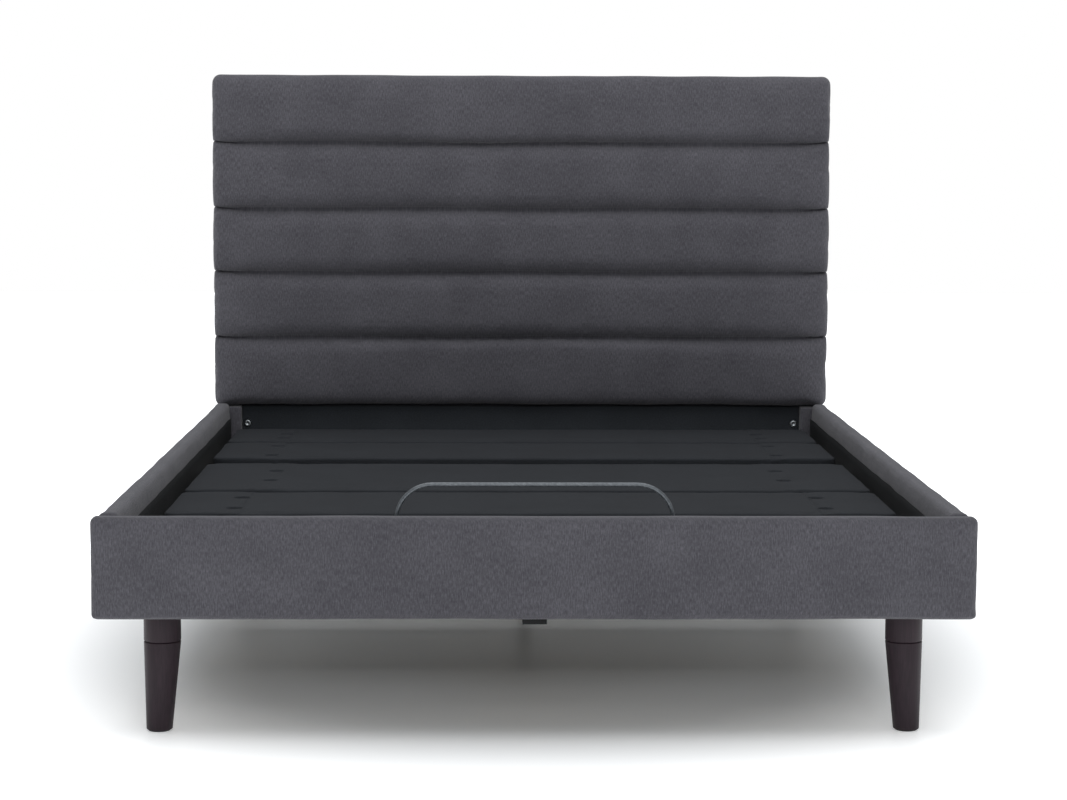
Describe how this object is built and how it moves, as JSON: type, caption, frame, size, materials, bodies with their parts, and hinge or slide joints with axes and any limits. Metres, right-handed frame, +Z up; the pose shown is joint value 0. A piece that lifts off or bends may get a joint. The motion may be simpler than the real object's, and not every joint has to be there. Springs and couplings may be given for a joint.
{
  "type": "adjustable bed base",
  "caption": "Upholstered platform bed frame with panelled headboard, tapered legs and a hinged, motor-driven slab deck that raises the back, head, thighs and feet.",
  "frame": {"origin": "centre of the footprint on the floor", "axes": "+Y from the foot end to the headboard, +X to the right seen from the foot, +Z up"},
  "size_m": [1.664, 2.23, 1.309],
  "materials": {
    "upholstery_fabric": "charcoal grey woven polyester over foam",
    "deck_fabric": "dark grey needled felt cloth stretched over board",
    "black_cloth": "black lining cloth",
    "leg_wood": "espresso stained and lacquered hardwood",
    "support_timber": "raw plywood and pine",
    "frame_steel": "black powder-coated steel",
    "bar_steel": "black gloss-coated steel rod",
    "rod_steel": "zinc-plated steel",
    "black_plastic": "black moulded plastic"
  },
  "bodies": {
    "base": {"footboard": "upholstery_fabric", "side_rail_left": "upholstery_fabric", "side_rail_right": "upholstery_fabric", "headboard_pad": "upholstery_fabric", "headboard_post_left": "upholstery_fabric", "headboard_post_right": "upholstery_fabric", "seat_panel": "deck_fabric", "headboard_lower_panel": "black_cloth", "leg_foot_left": "leg_wood", "leg_foot_right": "leg_wood", "leg_head_left": "leg_wood", "leg_head_right": "leg_wood", "leg_collar_foot_left": "leg_wood", "leg_collar_foot_right": "leg_wood", "leg_collar_head_left": "leg_wood", "leg_collar_head_right": "leg_wood", "headboard_board": "support_timber", "ledger_left": "support_timber", "ledger_right": "support_timber", "centre_beam": "support_timber", "end_slat_foot": "support_timber", "slat_front": "support_timber", "slat_rear": "support_timber", "end_slat_head": "support_timber", "beam_bracket_foot": "frame_steel", "centre_leg": "frame_steel", "base_side_left": "frame_steel", "base_side_right": "frame_steel", "base_cross_foot": "frame_steel", "base_cross_head": "frame_steel", "hinge_bracket_left": "frame_steel", "hinge_bracket_right": "frame_steel", "seat_cross_front": "frame_steel", "seat_cross_rear": "frame_steel", "back_actuator": "black_plastic", "leg_actuator": "black_plastic", "control_box": "black_plastic"},
    "back_frame": {"back_torque_tube": "frame_steel", "back_arm_left": "frame_steel", "back_arm_right": "frame_steel", "back_cross": "frame_steel", "back_panel": "deck_fabric", "pillow_actuator": "black_plastic"},
    "back_rod": {"back_actuator_rod": "rod_steel"},
    "pillow_frame": {"pillow_tube": "frame_steel", "pillow_arm_left": "frame_steel", "pillow_arm_right": "frame_steel", "pillow_panel": "deck_fabric"},
    "pillow_rod": {"pillow_actuator_rod": "rod_steel"},
    "thigh_frame": {"thigh_tube": "frame_steel", "thigh_arm_left": "frame_steel", "thigh_arm_right": "frame_steel", "thigh_panel": "deck_fabric"},
    "leg_rod": {"leg_actuator_rod": "rod_steel"},
    "foot_frame": {"foot_arm_left": "frame_steel", "foot_arm_right": "frame_steel", "foot_panel": "deck_fabric", "retainer_bar": "bar_steel"},
    "foot_roller_left": {"foot_roller_left": "black_plastic"},
    "foot_roller_right": {"foot_roller_right": "black_plastic"}
  },
  "joints": [
    {"name": "back_hinge", "type": "hinge", "parent": "base", "child": "back_frame", "pos_m": [0, 0.252, 0.334], "axis": [1, 0, 0], "range_deg": [0, 60]},
    {"name": "pillow_hinge", "type": "hinge", "parent": "back_frame", "child": "pillow_frame", "pos_m": [0, 0.644, 0.334], "axis": [1, 0, 0], "range_deg": [0, 30]},
    {"name": "thigh_hinge", "type": "hinge", "parent": "base", "child": "thigh_frame", "pos_m": [0, -0.295, 0.334], "axis": [-1, 0, 0], "range_deg": [0, 35]},
    {"name": "knee_hinge", "type": "hinge", "parent": "thigh_frame", "child": "foot_frame", "pos_m": [0, -0.657, 0.334], "axis": [1, 0, 0], "range_deg": [0, 70]},
    {"name": "roller_left_spin", "type": "hinge", "parent": "foot_frame", "child": "foot_roller_left", "pos_m": [-0.735, -1.025, 0.3313], "axis": [1, 0, 0], "continuous": true},
    {"name": "roller_right_spin", "type": "hinge", "parent": "foot_frame", "child": "foot_roller_right", "pos_m": [0.735, -1.025, 0.3313], "axis": [1, 0, 0], "continuous": true},
    {"name": "back_rod_slide", "type": "slide", "parent": "base", "child": "back_rod", "axis": [0, 1, 0], "range_m": [0, 0.03809]},
    {"name": "pillow_rod_slide", "type": "slide", "parent": "back_frame", "child": "pillow_rod", "axis": [0, 1, 0], "range_m": [0, 0.01773]},
    {"name": "leg_rod_slide", "type": "slide", "parent": "base", "child": "leg_rod", "axis": [0, -1, 0], "range_m": [0, 0.02085]}
  ],
  "couplings": [
    {"joint": "knee_hinge", "follows": "thigh_hinge", "ratio": 1.983},
    {"joint": "back_rod_slide", "follows": "back_hinge", "m_per_rad": 0.03628},
    {"joint": "pillow_rod_slide", "follows": "pillow_hinge", "m_per_rad": 0.03367},
    {"joint": "leg_rod_slide", "follows": "thigh_hinge", "m_per_rad": 0.03396}
  ]
}
